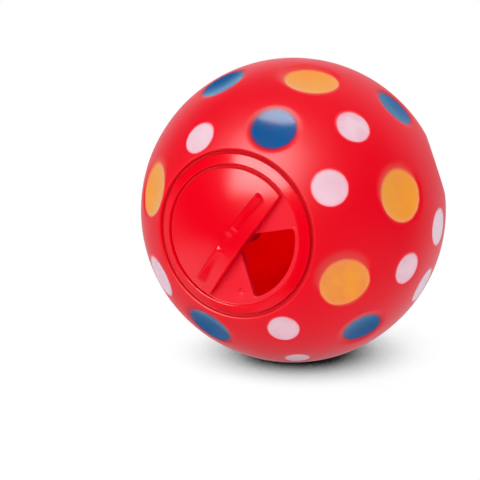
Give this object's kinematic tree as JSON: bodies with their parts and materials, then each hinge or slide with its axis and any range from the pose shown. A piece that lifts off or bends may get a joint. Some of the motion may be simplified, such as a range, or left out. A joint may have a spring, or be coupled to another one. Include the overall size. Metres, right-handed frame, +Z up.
{
  "type": "treat dispensing ball",
  "caption": "Hollow soft ball with dished and flat painted spots and a rigid insert whose D-shaped ribbed dial turns to open or close a quarter opening.",
  "frame": {"origin": "centre of the flat spot that the ball stands on, straight under the ball's centre", "axes": "+Z up, from the flat spot towards the ball's centre and top; the insert and its dial face the front, along -Y; +X to the right as seen from the front"},
  "size_m": [0.1397, 0.1371, 0.1396],
  "materials": {
    "vinyl": "satin soft vinyl, with yellow, blue and white spots sprayed on",
    "insert_plastic": "smooth moulded plastic with a soft gloss",
    "steel": "plain zinc-plated steel"
  },
  "bodies": {
    "ball": {"ball_shell": "vinyl"},
    "insert": {"cap_housing": "insert_plastic"},
    "shutter": {"dial": "insert_plastic", "pivot_screw": "steel", "pivot_washer": "steel"}
  },
  "joints": [
    {"name": "insert_pull", "type": "slide", "parent": "ball", "child": "insert", "axis": [0, -1, 0], "range_m": [0, 0.03]},
    {"name": "dial_turn", "type": "hinge", "parent": "insert", "child": "shutter", "pos_m": [0, -0.06, 0.06957], "axis": [0, -1, 0], "continuous": true}
  ]
}
